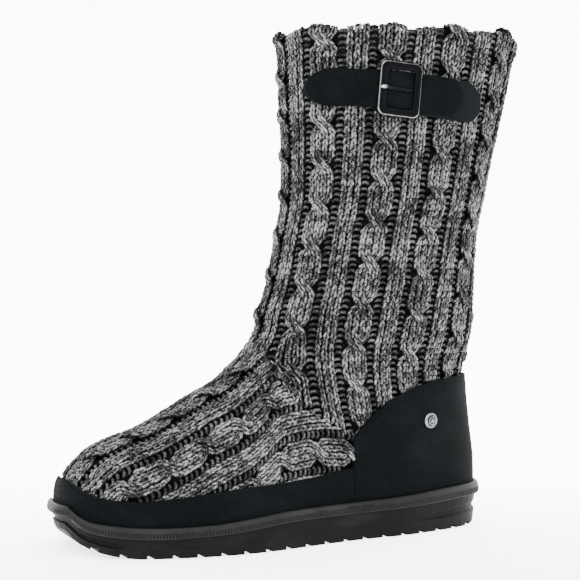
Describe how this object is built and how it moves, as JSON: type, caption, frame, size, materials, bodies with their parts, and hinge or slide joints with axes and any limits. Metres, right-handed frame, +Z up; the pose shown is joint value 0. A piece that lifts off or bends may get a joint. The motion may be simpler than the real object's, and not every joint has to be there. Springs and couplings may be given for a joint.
{
  "type": "winter boot",
  "caption": "Left winter boot: knitted shaft with a rolled collar, suede rand and heel counter, strap with a flat buckle, moulded sole.",
  "frame": {"origin": "middle of the bounding box, on the floor the sole stands on", "axes": "+Z up the shaft, -Y towards the toe, +Y towards the heel, +X the outer side of the left foot, where the buckle is"},
  "size_m": [0.1076, 0.294, 0.3007],
  "materials": {
    "sole_rubber": "matt charcoal moulded rubber",
    "fleece": "grey pile fleece",
    "knit": "chunky cable knit in grey and black marl yarn",
    "suede": "near-black suede with a short nap",
    "gunmetal": "dark gunmetal with a worn bright edge",
    "silver": "antiqued silver"
  },
  "bodies": {
    "root": {"sole": "sole_rubber", "insole": "fleece", "upper": "knit", "toe_rand": "suede", "heel_counter": "suede", "strap": "suede", "buckle_tab": "suede", "buckle_frame": "gunmetal", "buckle_prong": "gunmetal", "rivet": "silver"}
  },
  "joints": []
}
